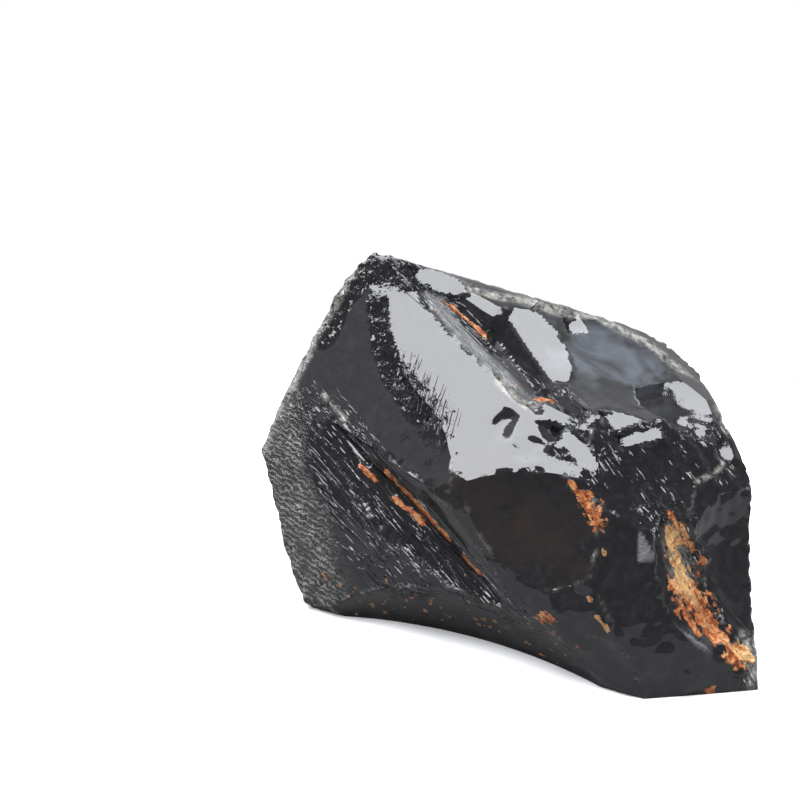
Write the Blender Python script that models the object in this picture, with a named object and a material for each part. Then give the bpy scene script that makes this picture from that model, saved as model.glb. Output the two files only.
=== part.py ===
"""A chunk of raw obsidian as a Blender solid.

A convex blank is built from hand-placed corners, and every flake scar, seam and hollow is then cut from it.
"""

from math import cos, pi, radians, sin

import bmesh
import bpy
from mathutils import Matrix, Vector

# Corners of the blank in mm: x to the right, y away from the front, z up from the flat base.
CREST = [
    (-24.2, 17, 64), (-29.3, 15, 59.5), (-19, 16, 62.7), (-13.4, 14, 61), (-6, 12, 58.7), (-0.5, 10.5, 57.8),
    (7.5, 11, 56), (16, 13, 53.2), (25.5, 13, 49.8), (31, 11, 47.6), (36, 5, 45), (39.2, -3, 42.7),
    (41.1, -9, 39.3), (42.3, -14, 35.3),
]
BROW = [
    (-10.6, -17.5, 39.3), (-5.2, -21.8, 36.4), (-0.2, -25.3, 34.8), (7.3, -26.8, 35.6), (9.6, -25.6, 37.8),
    (10.4, -17, 46), (19, -13.5, 47.5), (27, -12, 47.2),
]
FRONT_RIGHT = [(25, -25, 35), (36, -31, 18), (43.5, -16, 32), (43.5, -31, 6)]
BELLY = [(-25.5, -10.5, 11.5), (-7.5, -23.5, 13.5), (7.5, -31, 16), (20.5, -36, 9)]
LEFT_END = [
    (-34.6, 13, 49), (-41.6, 6, 38), (-45, 2, 29.5), (-42.6, -2, 21), (-41, -5, 11.7), (-37.5, -8, 2.3),
    (-36.6, 2, 43), (-31, -10, 19.3), (-28.4, -11.7, 7),
]
BACK = [(-40, 24, 25), (-20, 36, 30), (6, 38, 28), (30, 32, 24), (44, 14, 20), (-8, 28, 50), (14, 28, 44)]
BASE = [
    (24, -35, 0), (44.5, -32.5, 0), (-25, -7.5, 0), (-36, -7, 0), (-38, 4, 0), (-34, 22, 0), (-14, 34, 0),
    (12, 37, 0), (33, 28, 0), (42, 8, 0),
]

# Middle of the finished chunk's box on the ground, in mm: taken off every point, so it becomes the origin.
BOX_MIDDLE = Vector((-0.25, 0.55, 0))
# The grey face's outline on its own floor, in mm; its right side is the ragged step up to the mirror face.
GREY_FACE = [
    (-5.1, 24), (-4.6, 18), (0, 11.6), (4.1, 6), (9, 3), (14.1, -0.3), (18.2, -5.8), (24, -30), (-40, -30),
    (-40, 24),
]
PUNCH_TOP = 90.0
SLAB_HEIGHT = 40.0
GROOVE_HEIGHT = 25.0
GROOVE_OVERRUN = 0.12
GROOVE_STEPS = 16
MM = 0.001


def clear_scene():
    for old in list(bpy.data.objects):
        bpy.data.objects.remove(old, do_unlink=True)


def place(point):
    """A design point in mm as metres from the origin."""
    return (Vector(point) - BOX_MIDDLE) * MM


def facing(azimuth, elevation):
    """Outward direction; azimuth 0 faces -Y (the front), 90 faces +X, elevation is above the horizon."""
    a = radians(azimuth)
    e = radians(elevation)
    return Vector((sin(a) * cos(e), -cos(a) * cos(e), sin(e)))


def new_object(name, shape):
    """A closed bmesh as an object, with every face turned outward."""
    bmesh.ops.recalc_face_normals(shape, faces=shape.faces)
    if shape.calc_volume(signed=True) < 0:
        bmesh.ops.reverse_faces(shape, faces=shape.faces)
    mesh = bpy.data.meshes.new(name)
    shape.to_mesh(mesh)
    shape.free()
    made = bpy.data.objects.new(name, mesh)
    bpy.context.collection.objects.link(made)
    return made


def new_cutter(name, shape):
    cutter = new_object(name, shape)
    cutter.hide_render = True
    cutter.display_type = "WIRE"
    return cutter


def blank(name, corners):
    shape = bmesh.new()
    for corner in corners:
        shape.verts.new(place(corner))
    hull = bmesh.ops.convex_hull(shape, input=shape.verts)
    inner = [item for item in hull["geom_interior"] if isinstance(item, bmesh.types.BMVert)]
    bmesh.ops.delete(shape, geom=inner, context="VERTS")
    return new_object(name, shape)


def dish(name, at, face, bow, reach, strike=None, ripple=0.0, spacing=6.0, step=2.5, turns=40):
    """A domed punch for a shell-shaped flake scar.

    Its dome is part of a sphere of radius bow that touches `at` with the outward normal `face`. Ripples of the
    given height and spacing run in rings about the strike point.
    """
    out = facing(*face)
    centre = Vector(at) + out * bow
    axis = (centre - Vector(strike)).normalized() if strike else out
    rings = max(4, int(reach / step))
    profile = []
    for ring in range(rings + 1):
        arc = reach * ring / rings
        radius = bow + ripple * sin(2 * pi * arc / spacing)
        profile.append((radius * sin(arc / bow), -radius * cos(arc / bow)))
    profile.append((profile[-1][0], PUNCH_TOP - bow))
    profile.append((0.0, PUNCH_TOP - bow))
    shape = bmesh.new()
    corners = [shape.verts.new((r, 0, z)) for r, z in profile]
    for a, b in zip(corners, corners[1:]):
        shape.edges.new((a, b))
    outline = shape.verts[:] + shape.edges[:]
    bmesh.ops.spin(shape, geom=outline, axis=(0, 0, 1), cent=(0, 0, 0), steps=turns, angle=2 * pi)
    bmesh.ops.remove_doubles(shape, verts=shape.verts, dist=0.01)
    turn = axis.to_track_quat("Z", "Y").to_matrix().to_4x4()
    shape.transform(Matrix.Translation(place(centre)) @ turn @ Matrix.Scale(MM, 4))
    return new_cutter(name, shape)


def slab(name, at, face, outline):
    """A flat-floored punch. `outline` is in mm on its floor, x to the right and y up for someone facing it."""
    out = facing(*face)
    right = facing(face[0] + 90, 0)
    up = out.cross(right)
    shape = bmesh.new()
    floor = shape.faces.new([shape.verts.new(place(Vector(at) + right * x + up * y)) for x, y in outline])
    for item in bmesh.ops.extrude_face_region(shape, geom=[floor])["geom"]:
        if isinstance(item, bmesh.types.BMVert):
            item.co += out * SLAB_HEIGHT * MM
    return new_cutter(name, shape)


def groove(name, line, depth, walls):
    """A V-shaped gash that is deepest halfway along `line` and runs out at its ends.

    `line` is two points on the stone's surface, and `walls` are the ways the two sides face.
    """
    start, end = (Vector(point) for point in line)
    along = (end - start).normalized()
    sides = [facing(*wall) for wall in walls]
    outward = (sides[0] + sides[1]).normalized()
    rises = [side.cross(along).normalized() for side in sides]
    rises = [rise if rise.dot(outward) > 0 else -rise for rise in rises]
    shape = bmesh.new()
    rings = []
    for step in range(GROOVE_STEPS + 1):
        t = -GROOVE_OVERRUN + (1 + 2 * GROOVE_OVERRUN) * step / GROOVE_STEPS
        sag = 4 * depth * t * (1 - t)
        bottom = start + (end - start) * t - outward * sag
        ring = [bottom] + [bottom + rise * GROOVE_HEIGHT for rise in rises]
        rings.append([shape.verts.new(place(point)) for point in ring])
    shape.faces.new(rings[0])
    shape.faces.new(rings[-1])
    for near, far in zip(rings, rings[1:]):
        for a, b in ((0, 1), (1, 2), (2, 0)):
            shape.faces.new((near[a], near[b], far[b], far[a]))
    return new_cutter(name, shape)


def cut(stone, cutter):
    modifier = stone.modifiers.new(cutter.name, "BOOLEAN")
    modifier.operation = "DIFFERENCE"
    modifier.solver = "EXACT"
    modifier.object = cutter


def black_glass():
    material = bpy.data.materials.new("obsidian")
    material.use_nodes = True
    surface = material.node_tree.nodes["Principled BSDF"]
    surface.inputs["Base Color"].default_value = (0.012, 0.012, 0.014, 1)
    surface.inputs["Roughness"].default_value = 0.1
    surface.inputs["Metallic"].default_value = 0.0
    return material


clear_scene()
stone = blank("obsidian_chunk", CREST + BROW + FRONT_RIGHT + BELLY + LEFT_END + BACK + BASE)
stone.data.materials.append(black_glass())

# Top and front: the mirror face, the grey face beside it, and the scoops to the right of the long gash.
cut(stone, dish("mirror_face", (-5, -10, 44.6), (-19, 50), 400, 45, step=6))
cut(stone, slab("grey_face", (-23.6, -3.3, 42.1), (-30, 38), GREY_FACE))
cut(stone, dish("lens_flake", (6.3, -1.2, 51.2), (-8, 60), 45, 14))
cut(stone, dish("milky_scoop", (25, -1, 46.4), (20, 75), 60, 24))
cut(stone, dish("black_wall", (25, -18.5, 39.2), (14, 33), 45, 22))
cut(stone, dish("light_facet", (33, -4.5, 44.0), (-2, 57), 30, 10))
cut(stone, groove("gash", [(-18.5, 15.5, 61.9), (11, -13.5, 45.5)], 3.0, [(60, 66), (-33, 33)]))
cut(stone, groove("streaked_channel", [(-35.8, 0.8, 41.4), (3, -28.3, 9.5)], 0.6, [(-52, -6), (-18, 42)]))
cut(stone, dish("front_scoop", (1.3, -24.3, 26.5), (-12, 24), 42, 16))
cut(stone, dish("right_hollow", (34.0, -23.9, 22.7), (45, 15), 32, 24))
cut(stone, groove("rusty_seam", [(25.5, -24.8, 33.5), (42.6, -31.6, 4.5)], 3.4, [(52, 12), (-12, 22)]))
cut(stone, dish("undercut", (-5.2, -18, 3), (-25, -22), 85, 60, step=4))

# Back and ends: broad scars with faint ripples about the points where the blows fell.
cut(stone, dish("back", (3, 30.5, 22), (174, 12), 75, 60, strike=(8, 22, 50), ripple=0.15, spacing=7, turns=56))
cut(stone, dish("shoulder", (9, 19.5, 49.5), (170, 48), 60, 40, strike=(12, 12, 54), ripple=0.1, step=3))
cut(stone, dish("back_peak", (-20, 26.5, 42), (-170, 32), 45, 30, strike=(-22, 20, 56), ripple=0.1, step=3))
cut(stone, dish("back_left", (-34, 22, 26), (-138, 12), 50, 40, strike=(-32, 18, 46), ripple=0.12, spacing=6))
cut(stone, dish("back_right", (33.5, 24, 13), (138, 4), 38, 30, strike=(36, 24, 30), ripple=0.12, spacing=5))
cut(stone, dish("right_end", (39.5, 5, 24), (96, 20), 52, 44, strike=(38, 4, 42), ripple=0.12, spacing=6))
cut(stone, dish("left_end", (-38.5, 13, 13), (-100, 4), 36, 24, step=3))
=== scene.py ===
# %% [markdown]
# # A chunk of raw obsidian
# Obsidian is volcanic glass. A fresh chunk is all flake scars: smooth shell-shaped hollows that meet in
# sharp ridges. It is almost black, so what the eye sees is mostly reflection, and small changes of slope
# matter more than colour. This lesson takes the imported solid, makes a fine mesh from it, roughens each
# scar in its own way, and then builds the glass, the weathered skin and the rusty seams as one material.

# %% Load the frame
from math import atan, cos, degrees, pi, radians, sin, tan

import bpy
import numpy as np
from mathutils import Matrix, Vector, noise


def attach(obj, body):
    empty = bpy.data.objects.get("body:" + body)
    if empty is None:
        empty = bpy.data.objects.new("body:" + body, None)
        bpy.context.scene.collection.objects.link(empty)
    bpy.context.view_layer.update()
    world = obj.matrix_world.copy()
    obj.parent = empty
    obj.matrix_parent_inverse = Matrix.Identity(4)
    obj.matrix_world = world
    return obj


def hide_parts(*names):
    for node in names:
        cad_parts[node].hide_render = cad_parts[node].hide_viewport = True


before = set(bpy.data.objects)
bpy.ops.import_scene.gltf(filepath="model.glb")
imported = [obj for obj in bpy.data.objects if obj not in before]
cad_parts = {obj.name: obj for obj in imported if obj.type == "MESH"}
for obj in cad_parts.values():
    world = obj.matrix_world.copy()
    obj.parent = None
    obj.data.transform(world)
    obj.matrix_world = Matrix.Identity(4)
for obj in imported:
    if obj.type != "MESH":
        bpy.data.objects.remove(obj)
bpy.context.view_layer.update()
MM = 0.001

# %% [markdown]
# The camera comes first, so that every later step can be judged through it. It looks down at 27 degrees
# from about 30 centimetres away, with a moderate lens, the way one looks at a stone on a table.

# %% Camera
VIEW_DOWN = 27
EYE = Vector((-18.75, -245.55, 166)) * MM
SENSOR = 36
LENS = 67.2

camera_data = bpy.data.cameras.new("camera")
camera_data.sensor_width = SENSOR
camera_data.lens = LENS
camera_data.clip_start = 10 * MM
camera = bpy.data.objects.new("camera", camera_data)
camera.location = EYE
camera.rotation_euler = (radians(90 - VIEW_DOWN), 0, 0)
bpy.context.scene.collection.objects.link(camera)
bpy.context.scene.camera = camera
print("field of view:", round(degrees(2 * atan(SENSOR / 2 / LENS)), 1), "degrees")

# %% [markdown]
# Black glass shows little but its reflections, so the lamps are placed for what each scar mirrors. One very
# large soft box hangs almost overhead and turns the scars that mirror it white. A dim one on the left greys
# the faces that look that way, a low one lights the weathered end, and one behind shows up the back. Light
# is slightly cool, like daylight. A ring of small lamps was the other choice, but it would leave dots. The
# power grows with the area of a box, so the brightness that a scar mirrors doesn't depend on the size.

# %% Lights
COOL = (0.95, 0.965, 1.0)
SOFT_BOXES = (
    # name, azimuth, elevation, distance in metres, half of its width in degrees, brightness
    ("overhead_soft_box", -50, 81, 2.4, 22, 13),
    ("back_soft_box", -160, 14, 2.0, 15, 4),
    ("left_soft_box", -85, 46, 2.0, 20, 0.7),
    ("low_left_strip", -104, 14, 1.6, 13, 5),
)


def facing(azimuth, elevation):
    """Outward direction; azimuth 0 faces -Y (the front), 90 faces +X, elevation is above the horizon."""
    a = radians(azimuth)
    e = radians(elevation)
    return Vector((sin(a) * cos(e), -cos(a) * cos(e), sin(e)))


for name, azimuth, elevation, away, half_angle, brightness in SOFT_BOXES:
    side = 2 * away * tan(radians(half_angle))
    lamp = bpy.data.lights.new(name, "AREA")
    lamp.shape = "SQUARE"
    lamp.size = side
    lamp.energy = brightness * pi * side * side
    lamp.color = COOL
    made = bpy.data.objects.new(name, lamp)
    made.location = facing(azimuth, elevation) * away
    made.rotation_euler = facing(azimuth, elevation).to_track_quat("Z", "Y").to_euler()
    bpy.context.scene.collection.objects.link(made)
    print(name, "side", round(side, 2), "m, power", round(lamp.energy, 1), "W")

# %% [markdown]
# Every material is made with one small helper that adds a node, sets it and links it. Colours are written
# as the hex values a paint program shows, and Blender wants them linear. The kinds of node and the settings
# that come back again and again get short names here.

# %% Node helper
MATH = "ShaderNodeMath"
VECTOR = "ShaderNodeVectorMath"
MIX = "ShaderNodeMix"
RANGE = "ShaderNodeMapRange"
NOISE = "ShaderNodeTexNoise"
TIMES = {"operation": "MULTIPLY"}
TIMES_PLUS = {"operation": "MULTIPLY_ADD"}
LARGER = {"operation": "MAXIMUM"}
MINUS = {"operation": "SUBTRACT"}
COLOURS = {"data_type": "RGBA"}
VECTORS = {"data_type": "VECTOR"}


def linear(hex_colour):
    """An sRGB hex colour as linear red, green, blue and alpha."""
    channels = [int(hex_colour[i : i + 2], 16) / 255 for i in (1, 3, 5)]
    return [c / 12.92 if c <= 0.04045 else ((c + 0.055) / 1.055) ** 2.4 for c in channels] + [1]


def node(tree, kind, settings=None, inputs=None):
    """Adds a node. A setting is an attribute, and an input is a value or another node's output socket."""
    made = tree.nodes.new(kind)
    for key, value in (settings or {}).items():
        setattr(made, key, value)
    for key, value in (inputs or {}).items():
        if isinstance(value, bpy.types.NodeSocket):
            tree.links.new(value, made.inputs[key])
        else:
            made.inputs[key].default_value = value
    return made


print("black glass #0f0f11 is", [round(c, 4) for c in linear("#0f0f11")[:3]], "in linear light")

# %% [markdown]
# The stone stands on a round matt card. A real table would be white, but a white one mirrored in black glass
# washes the low scars out, so the card is pale for the camera and grey for the rays that bounce off it.

# %% Card
CARD_RADIUS = 120 * MM

bpy.ops.object.select_all(action="DESELECT")
bpy.ops.mesh.primitive_circle_add(vertices=96, radius=CARD_RADIUS, fill_type="NGON")
card = bpy.context.object
card.name = "card"
paper = bpy.data.materials.new("matt_card")
paper.use_nodes = True
matt = paper.node_tree.nodes["Principled BSDF"]
ray = node(paper.node_tree, "ShaderNodeLightPath")
shades = {0: ray.outputs["Is Camera Ray"], 6: linear("#949494"), 7: linear("#f2f2f2")}
shade = node(paper.node_tree, MIX, COLOURS, shades)
paper.node_tree.links.new(shade.outputs[2], matt.inputs["Base Color"])
matt.inputs["Roughness"].default_value = 0.9
card.data.materials.append(paper)
print("card across:", round(2 * CARD_RADIUS / MM), "mm")

# %% [markdown]
# Beyond the card the room is dim in front and pale behind, so steep faces turn black and the far edges
# catch a pale light. The backdrop that the camera sees is plain white.

# %% Room
FRONT_ROOM = 0.42
BACK_ROOM = 1.2
LOW_SHARE = 0.45

world = bpy.data.worlds.new("room")
world.use_nodes = True
bpy.context.scene.world = world
bpy.context.scene.view_settings.view_transform = "Standard"
tree = world.node_tree
tree.nodes.clear()
where = node(tree, "ShaderNodeTexCoord")
axes = node(tree, "ShaderNodeSeparateXYZ", inputs={0: where.outputs["Generated"]})
deepening = {"From Min": -0.3, "From Max": 0.6, "To Min": FRONT_ROOM, "To Max": BACK_ROOM}
deepening["Value"] = axes.outputs["Y"]
depth = node(tree, RANGE, {"interpolation_type": "SMOOTHSTEP"}, deepening)
rising = {"Value": axes.outputs["Z"], "From Min": -0.2, "From Max": 0.4, "To Min": LOW_SHARE}
above = node(tree, RANGE, inputs=rising)
level = node(tree, MATH, TIMES, {0: depth.outputs[0], 1: above.outputs[0]})
dim = node(tree, MATH, LARGER, {0: level.outputs[0], 1: FRONT_ROOM})
room = node(tree, "ShaderNodeBackground", inputs={"Color": [*COOL, 1], "Strength": dim.outputs[0]})
backdrop = node(tree, "ShaderNodeBackground", inputs={"Color": [1, 1, 1, 1]})
ray = node(tree, "ShaderNodeLightPath")
both = {0: ray.outputs["Is Camera Ray"], 1: room.outputs[0], 2: backdrop.outputs[0]}
seen = node(tree, "ShaderNodeMixShader", inputs=both)
node(tree, "ShaderNodeOutputWorld", inputs={"Surface": seen.outputs[0]})
print("the room behind is", round(BACK_ROOM / FRONT_ROOM, 1), "times as bright as in front")

# %% [markdown]
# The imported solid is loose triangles. A copy is welded and remeshed with the Sharp remesher, which lays an
# even grid of small faces over it and keeps the ridges between scars crisp. Subdividing would keep the long
# thin triangles of the solid, and relief shows badly on those.

# %% Fine mesh of the stone
GRID_DEPTH = 8
GRID_SCALE = 0.65
WELD = 0.01 * MM

stone = bpy.data.objects.new("obsidian_stone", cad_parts["obsidian_chunk"].data.copy())
bpy.context.scene.collection.objects.link(stone)
bpy.ops.object.select_all(action="DESELECT")
stone.select_set(True)
bpy.context.view_layer.objects.active = stone
bpy.ops.object.mode_set(mode="EDIT")
bpy.ops.mesh.select_all(action="SELECT")
bpy.ops.mesh.remove_doubles(threshold=WELD)
bpy.ops.object.mode_set(mode="OBJECT")
remesh = stone.modifiers.new("remesh", "REMESH")
remesh.mode = "SHARP"
remesh.octree_depth = GRID_DEPTH
remesh.scale = GRID_SCALE
bpy.ops.object.modifier_apply(modifier=remesh.name)
print("faces after remesh:", len(stone.data.polygons))

# %% [markdown]
# The vertex positions are read into rows of millimetres. From here on the stone is shaped by moving those
# rows, which is quick for many thousand vertices.

# %% Read the vertices
def read(name):
    """The vertex positions or normals as rows of three numbers."""
    values = np.empty(len(stone.data.vertices) * 3)
    stone.data.vertices.foreach_get(name, values)
    return values.reshape(-1, 3)


def write(rows):
    """Puts rows of millimetres back as the vertex positions."""
    stone.data.vertices.foreach_set("co", (rows * MM).ravel())
    stone.data.update()


points = read("co") / MM
print("vertices:", len(points))

# %% [markdown]
# Most marks on the stone follow a line: a ridge, a crack or a seam. Three helpers serve the steps below: a
# soft threshold, the distance of every vertex from a line of corners, and the direction of such a line. The
# marks could be painted by hand, but a line of corners can be read and changed.

# %% Distances along the stone
def smooth(low, high, values):
    """0 below low, 1 above high, and an S curve between."""
    t = np.clip((values - low) / (high - low), 0, 1)
    return t * t * (3 - 2 * t)


def distance(line):
    """How far every vertex is from a line of corners, in mm."""
    corners = np.array(line, float)
    nearest = np.linalg.norm(points - corners[0], axis=1)
    for start, end in zip(corners[:-1], corners[1:]):
        along = end - start
        t = np.clip((points - start) @ along / (along @ along), 0, 1)
        nearest = np.minimum(nearest, np.linalg.norm(points - start - np.outer(t, along), axis=1))
    return nearest


def unit(line):
    """The direction from the start of a line to its end."""
    way = np.subtract(line[-1], line[0])
    return way / np.linalg.norm(way)


print("vertices within 5 mm of the top:", int((distance([(-22, 13, 61.5)]) < 5).sum()))

# %% [markdown]
# Small flakes have come off along the ridges. Each leaves a shallow shell-shaped hollow. A sculptor would use
# the Flatten brush; here every vertex in a leaf-shaped patch is moved onto the hollow, so that the facing of
# each scar can be set in degrees. Those that face the soft box flash white. Faces further than the reach
# above or below a patch stay as they are.

# %% Small flake scars
TO_SOFT_BOX = (-12, 54)
REACH = 4
SMALL_SCARS = [
    # line in mm, azimuth and elevation it faces, width, radius of the hollow, whether it is filled up too
    ([(-14.0, 12.4, 60.5), (-8.6, 10.0, 59.0)], (-16, 48), 4, 60, True),
    ([(-4.6, 6.9, 57.6), (-1.2, 5.9, 56.4)], TO_SOFT_BOX, 4, 25, False),
    ([(4.6, 3.4, 54.2), (8.9, -3.8, 50.4)], (0, 58), 8, 60, True),
    ([(14.5, 8.4, 52.4), (17.5, 9.4, 51.6)], TO_SOFT_BOX, 3.5, 20, False),
    ([(-1.8, -7.5, 48.1), (3.6, -13.0, 45.7)], (28, 68), 4.4, 60, False),
    ([(2.5, -15.2, 43.8), (7.0, -16.9, 42.9)], (26, 60), 3.2, 25, False),
    ([(10.6, -18.6, 43.0), (14.0, -22.6, 40.2)], TO_SOFT_BOX, 3, 30, True),
    ([(18.6, -15.4, 45.4), (24.6, -13.2, 44.7)], (-8, 52), 3.4, 25, False),
    ([(21, -18.4, 42.6), (25.6, -17.0, 42.8)], (-8, 50), 2.4, 20, True),
    ([(40.3, -13.2, 37.8)], (-8, 52), 5, 20, False),
]


def press(line, look, width, bow, fill):
    """Moves a leaf-shaped patch along a line onto a hollow of radius bow; returns how many vertices moved."""
    way = np.array(facing(*look))
    middle = np.mean(line, axis=0)
    long = width / 2 + np.linalg.norm(np.subtract(line[-1], line[0])) / 2
    offset = points - middle
    level = offset @ way
    run = offset @ unit(line) if len(line) > 1 else np.zeros(len(points))
    across = np.maximum((offset**2).sum(axis=1) - level**2 - run**2, 0)
    edge = across / (width / 2) ** 2 + (run / long) ** 2
    change = (edge - 1) * width**2 / (8 * bow) - level
    if not fill:
        change = np.minimum(change, 0)
    change *= 1 - smooth(1, 1.5, edge)
    change[np.abs(level) > REACH] = 0
    points[:] += np.outer(change, way)
    return int((np.abs(change) > 0.01).sum())


for line, look, width, bow, fill in SMALL_SCARS:
    moved = press(line, look, width, bow, fill)
    print("scar", width, "mm wide moved", moved, "vertices")

# %% [markdown]
# The gash at the top has a steep black wall under the lens-shaped flake. It is cut as a V between that wall
# and the gentler slope on the other side, and it runs out at both ends. A Boolean cutter would leave sharp
# ends, so the depth is worked out for each vertex and faded instead. A vertex further inside the V than the
# deepest cut belongs to another face and stays.

# %% The black wall of the gash
LENS_EDGE = [(1.2, 5.0, 56.0), (9.7, -7.7, 48.8)]
FAR_RIM = (-3.0, -4.0, 50.0)
WALL_LOOK = (-33, 22)
SLOPE_LOOK = (62, 70)
DEEPEST = 5


def square_to(line, look):
    """The way a wall faces, turned a little so that it is square to the line it follows."""
    way = np.array(facing(*look))
    way -= unit(line) * (way @ unit(line))
    return way / np.linalg.norm(way)


wall = square_to(LENS_EDGE, WALL_LOOK)
slope = square_to(LENS_EDGE, SLOPE_LOOK)
opening = (wall + slope) / np.linalg.norm(wall + slope)
drop = np.minimum((points - LENS_EDGE[0]) @ wall, (points - FAR_RIM) @ slope) / (wall @ opening)
drop[(drop < 0) | (drop > DEEPEST)] = 0
run = (points - LENS_EDGE[0]) @ unit(LENS_EDGE)
drop *= smooth(-0.5, 2, run) * (1 - smooth(15, 19, run))
points -= np.outer(drop, opening)
print("the gash is", round(float(drop.max()), 1), "mm deeper")
write(points)
outward = read("normal")

# %% [markdown]
# Each part of the surface has its own roughness. The places could be painted by hand; here they are described
# with short lines drawn on the stone, in millimetres, and a mask is worked out for every vertex from its
# distance to a line. A second helper gives smooth noise, and each seed reads it at another place.

# %% Mask helpers
SEED_SHIFT = Vector((7.1, 3.3, 5.7))


def near(line, core, fade):
    """1 within core mm of the line, and 0 beyond fade mm."""
    return 1 - smooth(core, fade, distance(line))


def grain(size, seed, along=None, stretch=1):
    """Smooth noise at every vertex, about -1 to 1, in lumps size mm wide, drawn out along a direction."""
    at = points / size
    if along is not None:
        at = at - np.outer(at @ along, along) * (1 - 1 / stretch)
    shift = SEED_SHIFT * seed
    return np.array([noise.noise(Vector(p) + shift) for p in at])


print("noise in 5 mm lumps runs up to", round(float(grain(5, 2).max()), 2))

# %% [markdown]
# Three crevices run down the stone: a gash at the top, a long channel across the front and a rusty seam at
# the right. Their walls are drawn out in streaks, and so are the feathered edge of the mirror face and the
# shattered corner, each in its own direction.

# %% Streaky crevices
GASH = [(-18, 15, 62), (11, -14, 45.5)]
CHANNEL = [(-35.5, 0.5, 41.5), (3, -29, 9.5)]
SEAM = [(26, -25, 33), (43, -32, 4.5)]
FEATHER = [(-16, -9, 42), (-13, -1, 48)]
SHATTERED = [(16, -17.5, 44.5), (27.4, -24, 30.5)]
CREVICES = (GASH, CHANNEL, SEAM, FEATHER, SHATTERED)
CHANNEL_FLOOR = [(-35.5, -1.5, 39.5), (1, -30, 9.5)]
CHANNEL_SIDE = [(-33, -6, 31), (-27, -12, 22), (-19, -17.5, 15)]
FEATHERED = [(-17.5, -2, 47.5), (-13.5, -7, 44), (-11.5, -11, 41.5)]

gash = near(GASH, 1.5, 4.5)
channel = np.maximum(near(CHANNEL_FLOOR, 3.5, 7), near(CHANNEL_SIDE, 5, 9))
seam = near(SEAM, 3.0, 5.5)
feather = near(FEATHERED, 1, 5.5)
masks = {"streaky": np.max([gash, channel, seam, 0.3 * feather], axis=0)}
print("the channel is", round(float(np.linalg.norm(np.subtract(*CHANNEL)))), "mm long")

# %% [markdown]
# The peak, a strip beside the big mirror face and the right corner are shattered into tiny steps. The fresh
# small scars, and two bare patches near them, stay polished through all of it.

# %% Shattered zones
PEAK = [(-33.5, 9.8, 50.5), (-30, 13.5, 57), (-26, 14.5, 61), (-21, 13, 61.5), (-16, 12.5, 60.5)]
STRIP = [(-23, 9, 57), (-22, 2.5, 51), (-19.5, -2, 46.5), (-15, -8.5, 42.5)]
CORNER = [(15, -20, 40), (24, -18, 42), (36, -15, 38)]
BARE = [(scar[0], scar[2]) for scar in SMALL_SCARS] + [([(33, -4.5, 44.5)], 11), ([(8.5, -13.8, 45.6)], 6)]

polished = np.max([near(line, 0.4 * width, 0.65 * width) for line, width in BARE], axis=0)
corner = near(CORNER, 5, 9)
zones = (near(PEAK, 2, 4.5), near(STRIP, 1.3, 3.0), 0.35 * corner, 0.25 * feather)
masks["crackled"] = np.max(zones, axis=0) * (1 - polished)
masks["fractured"] = corner * (1 - polished)
masks["streaky"] *= 1 - polished
print("polished vertices:", int((polished > 0.5).sum()))

# %% [markdown]
# The left end is the stone's old weathered skin, with a ragged border where the fresh breaks begin. The
# underside is satin, and small bubbles in it are full of rust.

# %% Skin and underside
BORDER_FOOT = -24.5
BORDER_LEAN = 0.34
TATTER = 2.5
BUBBLY_LINE = [(-30, -12, 5), (-10, -18, 7), (10, -28, 6)]

skin_border = BORDER_FOOT - BORDER_LEAN * points[:, 2]
ragged = points[:, 0] - skin_border + TATTER * grain(6, 21)
underside = smooth(-0.05, -0.2, outward[:, 2]) * smooth(0, 1, points[:, 2])
masks["skin"] = smooth(1.5, -2.5, ragged) * smooth(0.1, 0.4, -outward[:, 0])
masks["satin"] = underside
masks["bubbly"] = near(BUBBLY_LINE, 5, 8)
print("skin vertices:", int((masks["skin"] > 0.5).sum()))

# %% [markdown]
# One scar on the top is milky inside, and the glass under the mirror face is brownish. Thin edges let some
# light through, which looks pale: a see-through material would be the honest way, but it is slow and noisy
# on a piece this dark, so the edges get a pale tint instead.

# %% Milky, brown and pale glass
FAR_EDGE = [(-14, 13, 60.5), (-3, 9, 58), (8, 10, 55.5), (20, 11, 52)]
FAR_EDGE += [(28, 8, 48.5), (36, -2, 44.5), (41, -12, 38)]
PALE_LINES = [
    # line in mm, how far the pale tint reaches in mm
    (FAR_EDGE, 1.2),
    ([(-28, 15, 60), (-32, 12, 54), (-35.5, 9, 48), (-39, 5.5, 41.5), (-43, 3.5, 34), (-45, 1, 29)], 1.2),
    ([(33, -20.5, 35.3), (37.3, -17.3, 36), (41, -13, 38)], 0.4),
    ([(-33.3, 0.9, 41.6), (-28.8, -3.8, 38.9)], 0.4),
    ([(42.5, -29, 8), (43.5, -32, 3), (44.5, -33, 0.5)], 1.4),
    ([(28.5, -25.5, 27), (31.5, -28, 19)], 2.2),
    ([(32, -28.2, 17.5), (41.5, -31.3, 6)], 0.7),
]
THIN_RIM = [(-0.9, -6.8, 48.3), (4.3, -12.1, 46.1)]
MILKY_LINE = [(13, 3, 51), (20, 2, 49), (23, -3, 47)]
BROWN_LINE = [(-4, -22, 33), (8, -27, 28)]

pale = np.max([near(line, 0.4 * reach, 1.7 * reach) for line, reach in PALE_LINES], axis=0)
masks["pale"] = np.maximum(pale * (1 - polished), 0.8 * near(THIN_RIM, 1.1, 1.5))
masks["milky"] = near(MILKY_LINE, 5, 11) * smooth(0.75, 0.9, outward[:, 2])
masks["brown"] = near(BROWN_LINE, 5, 11)
print("pale vertices:", int((masks["pale"] > 0.5).sum()))

# %% [markdown]
# Rust has soaked into the crevices and into a few bubbles. Each stain is a short line with a radius; the
# mask falls off slowly from it, and noise in the material later cuts a ragged edge through the fall-off.

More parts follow.
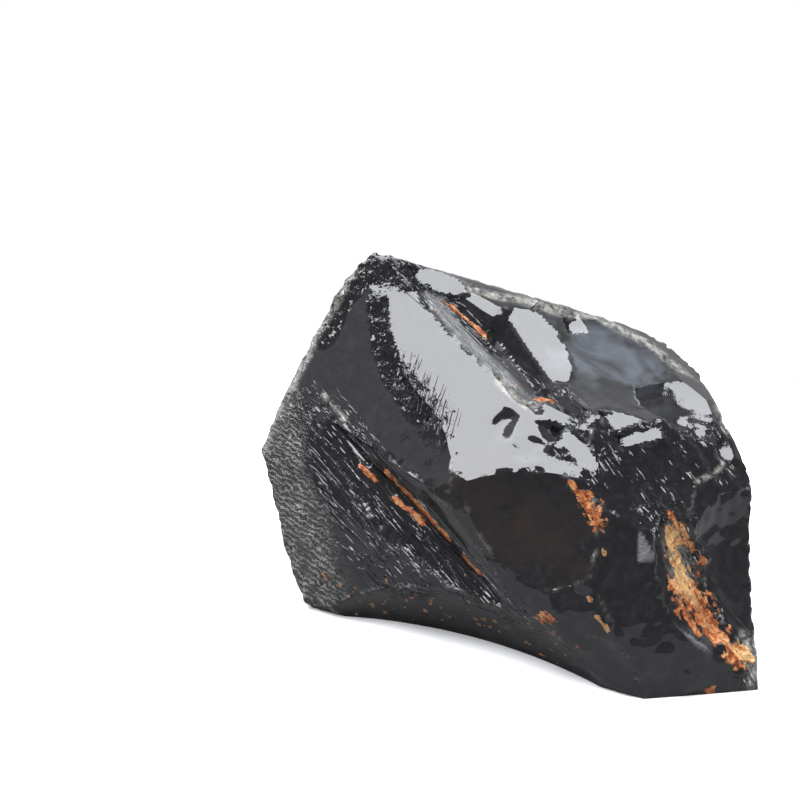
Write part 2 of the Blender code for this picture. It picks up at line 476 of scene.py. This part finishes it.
# %% Rust stains
RUST_LINES = [
    # line in mm, radius of the stain in mm
    ([(-10.5, 9.5, 56.7), (-1, 1.0, 51.5)], 0.5),
    ([(1.8, -7.0, 48.0), (4.6, -9.8, 46.8), (7.5, -11.6, 46.2)], 1.1),
    ([(-26, -8, 31.5), (-23, -10, 29.5)], 0.6),
    ([(-21, -10.5, 31.4), (-16, -14.3, 27.6), (-10.2, -18.7, 22.5)], 0.75),
    ([(-19.5, -12.2, 26.9), (-14.8, -15.2, 23.7)], 0.7),
    ([(-7, -21, 20.5), (-4.5, -23, 18)], 0.9),
    ([(10.7, -24.2, 37.5), (11.8, -25.5, 35.5)], 0.8),
    ([(12.8, -26.3, 34.8), (14.8, -28, 32.3)], 2.1),
    ([(16, -30, 27.5), (16.3, -30.2, 26)], 0.5),
    ([(28.5, -25.5, 27), (31.5, -28, 19)], 2.4),
    ([(31, -28, 18.5), (34, -29.3, 13.5)], 4.0),
    ([(34, -29.3, 13.5), (41.5, -31.6, 6)], 2.6),
    ([(27.7, -25, 31.6), (34.5, -24.5, 21.5)], 0.8),
    ([(-13, -17.5, 7.5)], 0.8),
    ([(-14, -16, 5)], 0.6),
    ([(-5, -20, 5.5)], 0.7),
    ([(6.5, -30.5, 13.5)], 2.0),
    ([(14, -32.5, 19)], 0.7),
    ([(15.2, -33.8, 16), (17, -34.5, 14)], 0.6),
    ([(36, -34, 0.5)], 1.4),
]
FALL_OFF = 2.2
OLD_SPOTS = [(16, -30.1, 27), (14, -32.5, 19), (16, -34, 15)]

masks["old_rust"] = np.maximum(masks["bubbly"], near(OLD_SPOTS, 2, 4))
masks["rust"] = np.max([near(line, 0, FALL_OFF * reach) for line, reach in RUST_LINES], axis=0)
print("rust stains:", len(RUST_LINES))

# %% [markdown]
# Glass never breaks to a clean knife edge: tiny chips nibble the ridges between scars. A vertex that stands
# proud of the average of its neighbours is on a ridge, so the ridges are found by measuring, and nobody has
# to draw them. The mask is then widened by a few rings of vertices.

# %% Ridges
RINGS = 3


def spread(values):
    """The average of each vertex's neighbours."""
    total = np.zeros_like(values)
    for here, there in ((0, 1), (1, 0)):
        np.add.at(total, pairs[:, here], values[pairs[:, there]])
    return (total.T / links).T


pairs = np.empty(len(stone.data.edges) * 2, int)
stone.data.edges.foreach_get("vertices", pairs)
pairs = pairs.reshape(-1, 2)
links = np.bincount(pairs.ravel(), minlength=len(points))
sharpness = ((points - spread(points)) * outward).sum(axis=1)
ridge = smooth(0.02, 0.07, sharpness)
for ring in range(RINGS):
    ridge = np.maximum(ridge, spread(ridge))
print("vertices near a ridge:", round(100 * float((ridge > 0.3).mean()), 1), "%")

# %% [markdown]
# The relief is a height in millimetres for every vertex, and each line below adds one kind: a height times
# noise of a lump size, where a mask allows it. Broad swells bend the mirror faces a little, because a real
# flake scar is never flat. Streaks run along the crevices, and steps break up the shattered places.

# %% Relief
UP = np.array([0.0, 0.0, 1.0])
RIPPLED = [(2, -16, 43), (15, -20, 42)]
ROLLING = [(17, -32, 21), (31, -34.5, 8), (16, -34, 12)]
ROLLING_LOW = [(-28, -13, 13), (-14, -21, 12)]
DIMPLED = [(37, -22, 32), (40, -18, 24), (39, -26, 14)]

fresh = 1 - polished
rolling = np.maximum(near(ROLLING, 7, 13), 0.5 * near(ROLLING_LOW, 4, 8))
height = 0.13 * grain(15, 1) + 0.03 * grain(5, 2)
height -= ridge * (0.7 * np.maximum(0, grain(1.2, 15)) + 0.6 * np.maximum(0, grain(3, 17))) * fresh
height += (1 - ridge) * 0.03 * grain(2.4, 18)
for band, line, seed in ((gash, GASH, 3), (channel, CHANNEL, 4), (seam, SEAM, 5)):
    streak = 0.28 * grain(1.7, seed, unit(line), 10) + 0.14 * grain(0.9, seed + 10, unit(line), 6)
    height += band * fresh * streak
height += masks["crackled"] * (0.4 * grain(3.2, 6) + 0.15 * grain(1.3, 7))
height += masks["fractured"] * (0.7 * grain(2.6, 23, unit(SHATTERED), 2) + 0.2 * grain(1.2, 24))
height += near(RIPPLED, 3.5, 6.5) * fresh * 0.8 * grain(4.5, 8)
height += 0.22 * near(DIMPLED, 5, 9) * grain(2.4, 25)
height += rolling * (1.2 * grain(7, 16) + 0.5 * grain(3, 19))
height -= 0.4 * near(STRIP[1:], 0, 3)
height += feather * 0.2 * grain(1.6, 20, unit(FEATHER), 2)
height += masks["skin"] * (0.5 * grain(1.7, 9, UP, 3) + 0.2 * grain(4, 11))
height += underside * 0.25 * grain(5, 12)
height += masks["milky"] * 0.08 * grain(6, 13)
height += smooth(0.5, 0.8, masks["rust"]) * (0.1 + 0.3 * grain(1.1, 14))
height *= smooth(0, 1.5, points[:, 2])
print("relief from", round(height.min(), 2), "to", round(height.max(), 2), "mm")

# %% [markdown]
# The heights are added along the normals. The bottom is left flat, since the stone rests on it. Smooth
# shading by angle then hides the small faces and keeps the ridges.

# %% Raise the relief
RIDGE_ANGLE = 25

points += outward * height[:, None]
points[:, 2] = np.maximum(points[:, 2], 0)
write(points)
bpy.ops.object.shade_smooth_by_angle(angle=radians(RIDGE_ANGLE))
print("the stone now stands", round(float(points[:, 2].max()), 1), "mm high")

# %% [markdown]
# Where glass is crushed it is full of tiny cracks and looks grey, as on the slope of the gash. Along some
# ridges that grey is partly crushed glass and partly a painted highlight, and on one small chip in front it
# is a painted reflection of a facet catching a lamp.

# %% Crushed glass and painted highlights
SLOPE = [(-12.5, 9.8, 57.2), (-8.5, 3.8, 53.8), (-3, -2.5, 50.6), (2.5, -7.5, 48.2), (5.5, -10.8, 47)]
CHIP_TIP = np.array((22.3, -28.3, 30.0))
CHIP_FOOT = np.array((23.6, -29.7, 25.2))
CHIP_WIDE = 1.3

# Ridges in patches: partly crushed glass, partly a painted highlight where a ridge would catch the light.
edges = smooth(0.03, 0.1, sharpness) * smooth(0.0, 0.4, grain(3, 22))
# The small chip in front: a painted reflection, a light grey triangle where its facet would mirror a lamp.
chip_reflection = smooth(CHIP_FOOT[2] - 0.4, CHIP_FOOT[2], points[:, 2])
widening = [(CHIP_TIP + t * (CHIP_FOOT - CHIP_TIP), CHIP_WIDE * t) for t in np.linspace(0, 1, 9)]
chip_reflection *= np.max([near([spot], radius, radius + 0.4) for spot, radius in widening], axis=0)
masks["crushed_and_highlight"] = np.max([edges * fresh, near(SLOPE, 1, 2.4) * fresh, chip_reflection], axis=0)
print("crushed vertices:", int((masks["crushed_and_highlight"] > 0.5).sum()))

# %% [markdown]
# The masks are kept on the mesh as named attributes, so that the material can read them. Flow is a position
# squeezed along the nearest crevice: noise read through it comes out as long streaks.

# %% Attributes
STRETCH = 12

squeezed = [points - np.outer(points @ unit(line), unit(line)) * (1 - 1 / STRETCH) for line in CREVICES]
nearest = np.argmin([distance(line) for line in CREVICES], axis=0)
flow = np.choose(nearest[:, None], squeezed)
stone.data.attributes.new("flow", "FLOAT_VECTOR", "POINT").data.foreach_set("vector", flow.ravel())
for name, values in masks.items():
    stone.data.attributes.new(name, "FLOAT", "POINT").data.foreach_set("value", values)
    print(name, "covers", round(100 * float((values > 0.5).mean()), 1), "% of the vertices")

# %% [markdown]
# Obsidian is a glass with an index of refraction of about 1.49. It is so dark that it is opaque in a piece
# this thick, so one Principled shader without transmission does. It starts from black glass and lays the
# other finishes over it, one mask at a time. All pattern sizes are in millimetres, because the coordinates
# are scaled to millimetres first.

# %% Start the material
GLASS_IOR = 1.49

glass = bpy.data.materials.new("obsidian_glass")
glass.use_nodes = True
tree = glass.node_tree
surface = tree.nodes["Principled BSDF"]
surface.inputs["IOR"].default_value = GLASS_IOR
place = node(tree, "ShaderNodeTexCoord").outputs["Object"]
mm = node(tree, VECTOR, {"operation": "SCALE"}, {0: place, "Scale": 1 / MM}).outputs[0]
mask = {name: node(tree, "ShaderNodeAttribute", {"attribute_name": name}).outputs["Fac"] for name in masks}
flowing = node(tree, "ShaderNodeAttribute", {"attribute_name": "flow"}).outputs["Vector"]
print("a mirror-like face reflects", round(100 * ((GLASS_IOR - 1) / (GLASS_IOR + 1)) ** 2, 1), "% head on")

# %% [markdown]
# Rust is iron oxide that seeped in along cracks: dull, crumbly, and ragged at the edge. Noise is added to
# the mask of the stains and the sum is cut off at a level, which gives a ragged edge that still follows the
# drawn lines. A third of the noise is streaky, so the stain keeps a grain. The bubbles are separate specks,
# and old stains are only a thin film that the black glass shows through.

# %% Rust cover
CRUMB = 1.6
FIBRE = 0.9
BUBBLE = 1.9
FIBRE_SHARE = 0.35
MASK_WEIGHT = 1.5
NOISE_WEIGHT = 3.6
CUT_LEVEL = 2.8
FULL_LEVEL = 2.95
FILM_LOSS = 0.45

crumbs = node(tree, NOISE, inputs={"Vector": mm, "Scale": 1 / CRUMB, "Detail": 4, "Roughness": 0.5})
fibres = node(tree, NOISE, inputs={"Vector": flowing, "Scale": 1 / FIBRE, "Detail": 3})
patchy = node(tree, MIX, inputs={0: FIBRE_SHARE, 2: crumbs.outputs[0], 3: fibres.outputs[0]})
wet = node(tree, MATH, TIMES, {0: mask["rust"], 1: MASK_WEIGHT})
soaked = node(tree, MATH, TIMES_PLUS, {0: patchy.outputs[0], 1: NOISE_WEIGHT, 2: wet.outputs[0]})
cut = {"Value": soaked.outputs[0], "From Min": CUT_LEVEL, "From Max": FULL_LEVEL}
stain = node(tree, RANGE, inputs=cut)
bubbles = node(tree, NOISE, inputs={"Vector": mm, "Scale": 1 / BUBBLE, "Detail": 3})
found = {"Value": bubbles.outputs[0], "From Min": 0.63, "From Max": 0.7, "To Max": 0.75}
inside = node(tree, RANGE, inputs=found)
speck = node(tree, MATH, TIMES, {0: inside.outputs[0], 1: mask["bubbly"]})
thinned = node(tree, MATH, TIMES_PLUS, {0: mask["old_rust"], 1: -FILM_LOSS, 2: 1})
film = node(tree, MATH, TIMES, {0: stain.outputs[0], 1: thinned.outputs[0]})
rusty = node(tree, MATH, LARGER, {0: film.outputs[0], 1: speck.outputs[0]}).outputs[0]
print("rust crumbs are", CRUMB, "mm and bubbles", BUBBLE, "mm wide")

# %% [markdown]
# The weathered skin is wrinkled like dry paint, in folds less than a millimetre apart. A Wave texture with
# strong distortion gives folds that wander and never cross; noise wears them down in places. A diagonal wave
# of scale 1 goes through 10 radians per unit along each axis, and the scale is worked out from that.

# %% Wrinkles of the skin
FOLD = 0.86
WORN_PATCH = 2.2
WAVE_SCALE = 2 * pi / (10 * 3**0.5 * FOLD)

wander = {"Distortion": 13, "Detail": 4, "Detail Scale": 0.9, "Detail Roughness": 0.75}
waves = {"Vector": mm, "Scale": WAVE_SCALE, **wander}
creases = node(tree, "ShaderNodeTexWave", {"bands_direction": "DIAGONAL"}, waves)
worn = node(tree, NOISE, inputs={"Vector": mm, "Scale": 1 / WORN_PATCH, "Detail": 3})
left = {"Value": worn.outputs[0], "From Min": 0.3, "From Max": 0.6, "To Min": 0.55}
kept = node(tree, RANGE, inputs=left)
crinkle = node(tree, MATH, TIMES, {0: creases.outputs["Fac"], 1: kept.outputs[0]})
folds = node(tree, MATH, TIMES, {0: crinkle.outputs[0], 1: mask["skin"]})
# The tops of the folds are picked out for a painted highlight: they are coloured light grey further on.
fold_highlight = node(tree, RANGE, inputs={"Value": folds.outputs[0], "From Min": 0.55, "From Max": 1})
print("wave scale", round(WAVE_SCALE, 2), "gives folds", FOLD, "mm apart")

# %% [markdown]
# The glass is near black with a breath of dust. Crushed places are light grey, and the same grey stands for a
# painted highlight on some ridges and a painted reflection on one chip. Brown glass is warm, milky glass is
# blue-grey, and thin edges are pale. Each tint is broken up by clouds of noise, from wisps nearly a
# centimetre across down to flecks of about a millimetre, so that none of them looks painted on. Last, the
# tops of the skin's folds get a painted highlight in light grey.

# %% Colour of the glass
TONE = 5
WISP = 9
DUST = 1.6
FLECK = 1.4
FOLD_HIGHLIGHT_TINT = "#868782"

tones = node(tree, NOISE, inputs={"Vector": mm, "Scale": 1 / TONE, "Detail": 4})
wisps = node(tree, NOISE, inputs={"Vector": mm, "Scale": 1 / WISP, "Detail": 5, "Distortion": 0.8})
dust = node(tree, NOISE, inputs={"Vector": mm, "Scale": 1 / DUST, "Detail": 6, "Roughness": 0.7})
broken = node(tree, NOISE, inputs={"Vector": mm, "Scale": 1 / FLECK, "Detail": 5, "Roughness": 0.7})
dusty = node(tree, RANGE, inputs={"Value": dust.outputs[0], "From Min": 0.45, "From Max": 0.75})
black = {0: dusty.outputs[0], 6: linear("#0f0f11"), 7: linear("#202024")}
colour = node(tree, MIX, COLOURS, black).outputs[2]
TINTS = (
    # mask, tint, cloud that breaks it up, and where that cloud starts to show
    # crushed glass, together with the painted highlights on ridges and the painted reflection on one chip
    ("crushed_and_highlight", "#77787a", tones, 0.2),
    ("brown", "#221a18", tones, 0.3),
    ("skin", "#2b2b2a", tones, 0.1),
    ("milky", "#45494f", wisps, 0.44),
    ("pale", "#918f88", broken, 0.38),
)
for name, tint, cloud, low in TINTS:
    patch = node(tree, RANGE, inputs={"Value": cloud.outputs[0], "From Min": low, "From Max": 0.65})
    amount = node(tree, MATH, TIMES, {0: mask[name], 1: patch.outputs[0]})
    colour = node(tree, MIX, COLOURS, {0: amount.outputs[0], 6: colour, 7: linear(tint)}).outputs[2]
    print(name, "glass is", tint)
# Painted highlight: the tops of the skin's folds are coloured light grey, as if each caught a lamp.
colour = node(tree, MIX, COLOURS, {0: fold_highlight.outputs[0], 6: colour, 7: linear(FOLD_HIGHLIGHT_TINT)}).outputs[2]

# %% [markdown]
# Rust goes from dark brown through orange to tan. Where it lies on pale glass, in the bubbles and in three
# old spots in front, it has dried out, so those masks push it towards the tan end.

# %% Colour of the rust
GRIT = 1.1
THREAD = 0.8
THREAD_SHARE = 0.25
OLD_SHIFT = 0.09
PALE_SHIFT = 0.16

ochre = node(tree, NOISE, inputs={"Vector": mm, "Scale": 1 / GRIT, "Detail": 4, "Roughness": 0.75})
threads = node(tree, NOISE, inputs={"Vector": flowing, "Scale": 1 / THREAD, "Detail": 3})
mixed = node(tree, MIX, inputs={0: THREAD_SHARE, 2: ochre.outputs[0], 3: threads.outputs[0]})
dried = node(tree, MATH, TIMES_PLUS, {0: mask["old_rust"], 1: OLD_SHIFT, 2: mixed.outputs[0]})
aged = node(tree, MATH, TIMES_PLUS, {0: mask["pale"], 1: PALE_SHIFT, 2: dried.outputs[0]})
ramp = node(tree, "ShaderNodeValToRGB", inputs={0: aged.outputs[0]})
stops = ramp.color_ramp.elements
stops[0].position = 0.34
stops[0].color = linear("#24140b")
stops[1].position = 0.66
stops[1].color = linear("#c29a68")
stops.new(0.48).color = linear("#93450f")
colour = node(tree, MIX, COLOURS, {0: rusty, 6: colour, 7: ramp.outputs[0]}).outputs[2]
tree.links.new(colour, surface.inputs["Base Color"])
print("rust has", len(stops), "tones")

# %% [markdown]
# A fresh scar is polished like a mirror, with faint smears. The skin and the underside are satin, thin pale
# edges are a little dull, and rust is matt.

# %% Roughness
POLISHED = 0.03
SMEARED = 0.22
SMEAR = 8

smears = node(tree, NOISE, inputs={"Vector": mm, "Scale": 1 / SMEAR, "Detail": 5, "Distortion": 0.6})
spans = {"Value": smears.outputs[0], "From Min": 0.4, "To Min": POLISHED, "To Max": SMEARED}
rough = node(tree, RANGE, inputs=spans).outputs[0]
for name, more in (("skin", 0.17), ("satin", 0.18)):
    rough = node(tree, MATH, TIMES_PLUS, {0: mask[name], 1: more, 2: rough}).outputs[0]
for cover, matte in ((mask["pale"], 0.25), (rusty, 0.5)):
    rough = node(tree, MIX, inputs={0: cover, 2: rough, 3: matte}).outputs[0]
tree.links.new(rough, surface.inputs["Roughness"])
print("roughness of a fresh scar:", POLISHED, "to", SMEARED)

# %% [markdown]
# Relief finer than the mesh is left to a bump map. Its heights are in millimetres: a faint ruffle over
# everything, the folds of the skin, and rougher noise where the glass is streaky, crackled, crushed (which
# takes in the painted highlights on ridges and the one chip) or rusty.

# %% Fine relief
RUFFLE = 2.5
RUFFLE_HEIGHT = 0.05
FOLD_HEIGHT = 0.35

ruffled = node(tree, NOISE, inputs={"Vector": mm, "Scale": 1 / RUFFLE, "Detail": 4, "Roughness": 0.6})
bumps = node(tree, MATH, TIMES, {0: ruffled.outputs[0], 1: RUFFLE_HEIGHT}).outputs[0]
bumps = node(tree, MATH, TIMES_PLUS, {0: folds.outputs[0], 1: FOLD_HEIGHT, 2: bumps}).outputs[0]
BUMP_KINDS = (
    # mask, coordinates, size of a lump in mm, height in mm
    (mask["streaky"], flowing, 0.9, 0.1),
    (mask["crackled"], mm, 1.0, 0.15),
    (mask["crushed_and_highlight"], mm, 0.5, 0.3),
    (rusty, mm, 0.6, 0.3),
)
for cover, source, size, tall in BUMP_KINDS:
    pattern = node(tree, NOISE, inputs={"Vector": source, "Scale": 1 / size, "Detail": 3})
    amount = node(tree, MATH, TIMES, {0: pattern.outputs[0], 1: cover})
    bumps = node(tree, MATH, TIMES_PLUS, {0: amount.outputs[0], 1: tall, 2: bumps}).outputs[0]
    print("lumps", size, "mm wide and up to", tall, "mm high")

# %% [markdown]
# Streaky walls have fine crests between the streaks, and polished faces have a rare round pit where a
# crystal fell out. A crest is where streaky noise passes through its middle value. A pit is the middle of a
# Voronoi cell.

# %% Crests and pits
CREST = 1.3
CREST_HEIGHT = 0.22
PIT_SPACING = 7
PIT_DEPTH = 0.2

pattern = node(tree, NOISE, inputs={"Vector": flowing, "Scale": 1 / CREST, "Detail": 2})
centred = node(tree, MATH, MINUS, {0: pattern.outputs[0], 1: 0.5})
away = node(tree, MATH, {"operation": "ABSOLUTE"}, {0: centred.outputs[0]})
thin = {"Value": away.outputs[0], "From Min": 0, "From Max": 0.04, "To Min": 1, "To Max": 0}
crest = node(tree, RANGE, inputs=thin)
amount = node(tree, MATH, TIMES, {0: crest.outputs[0], 1: mask["streaky"]})
bumps = node(tree, MATH, TIMES_PLUS, {0: amount.outputs[0], 1: CREST_HEIGHT, 2: bumps}).outputs[0]
pits = node(tree, "ShaderNodeTexVoronoi", inputs={"Vector": mm, "Scale": 1 / PIT_SPACING})
pit = node(tree, RANGE, inputs={"Value": pits.outputs["Distance"], "From Min": 0.02, "From Max": 0.04})
bumps = node(tree, MATH, TIMES_PLUS, {0: pit.outputs[0], 1: PIT_DEPTH, 2: bumps}).outputs[0]
print("one pit in about", PIT_SPACING, "mm")

# %% [markdown]
# Shattered glass is thousands of tiny steps. Most of them look past the lamps and are black, and a few
# catch one and sparkle. A bump map can't turn a surface that far, so each step, a warped Voronoi cell, gets
# a normal of its own: a dark direction, and for one cell in four a random lean away from it.

# %% Tiny steps
STEP = 0.5
JITTER = 0.9
WARP = (2, 2, 2)
LEAN = (1.4, 1.4, 2.4)
STEPPED_SHARE = 0.6
DARK_WAY = facing(8, 27)

jitter = node(tree, NOISE, inputs={"Vector": mm, "Scale": 1 / JITTER, "Detail": 3})
warped = node(tree, VECTOR, TIMES_PLUS, {0: jitter.outputs["Color"], 1: WARP, 2: mm})
cells = node(tree, "ShaderNodeTexVoronoi", inputs={"Vector": warped.outputs[0], "Scale": 1 / STEP})
tilt = node(tree, VECTOR, MINUS, {0: cells.outputs["Color"], 1: (0.5, 0.5, 0.5)})
lot = node(tree, "ShaderNodeSeparateXYZ", inputs={0: cells.outputs["Color"]})
loose = node(tree, RANGE, inputs={"Value": lot.outputs[0], "From Min": 0.72, "From Max": 0.74})
kicked = node(tree, VECTOR, {"operation": "SCALE"}, {0: tilt.outputs[0], "Scale": loose.outputs[0]})
leaning = node(tree, VECTOR, TIMES_PLUS, {0: kicked.outputs[0], 1: LEAN, 2: DARK_WAY})
surface_way = node(tree, "ShaderNodeNewGeometry").outputs["Normal"]
stepped = node(tree, MATH, TIMES, {0: mask["crackled"], 1: STEPPED_SHARE})
turned = {0: stepped.outputs[0], 4: surface_way, 5: leaning.outputs[0]}
flaked = node(tree, MIX, VECTORS, turned)
print("steps are", STEP, "mm across")

# %% [markdown]
# Splinters along the crevices and in the shattered corner flash where they mirror the soft box. They are
# drawn as the peaks of streaky noise, and a broader noise gathers them in swarms.

# %% Glints
SPLINTER = 0.5
SWARM = 4
SWARM_WEIGHT = 0.35

streaks = {"Vector": flowing, "Scale": 1 / SPLINTER, "Detail": 4, "Roughness": 0.6}
splinters = node(tree, NOISE, inputs=streaks)
swarms = node(tree, NOISE, inputs={"Vector": mm, "Scale": 1 / SWARM, "Detail": 2})
thick = node(tree, MATH, TIMES_PLUS, {0: swarms.outputs[0], 1: SWARM_WEIGHT, 2: splinters.outputs[0]})
glint = node(tree, RANGE, inputs={"Value": thick.outputs[0], "From Min": 0.79, "From Max": 0.82})
torn = node(tree, MATH, LARGER, {0: mask["streaky"], 1: mask["fractured"]})
flash = node(tree, MATH, TIMES, {0: glint.outputs[0], 1: torn.outputs[0]})
lit = {0: flash.outputs[0], 4: flaked.outputs[1], 5: facing(*TO_SOFT_BOX)}
flashing = node(tree, MIX, VECTORS, lit)
flake_normal = node(tree, VECTOR, {"operation": "NORMALIZE"}, {0: flashing.outputs[1]})
relief = {"Height": bumps, "Distance": MM, "Normal": flake_normal.outputs[0]}
bump = node(tree, "ShaderNodeBump", inputs=relief)
tree.links.new(bump.outputs[0], surface.inputs["Normal"])
print("nodes in the material:", len(tree.nodes))

# %% [markdown]
# The finished stone replaces the plain solid.

# %% Hand the piece over
stone.data.materials.clear()
stone.data.materials.append(glass)
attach(stone, "root")
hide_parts("obsidian_chunk")
print(stone.name, "has", len(stone.data.polygons), "faces")
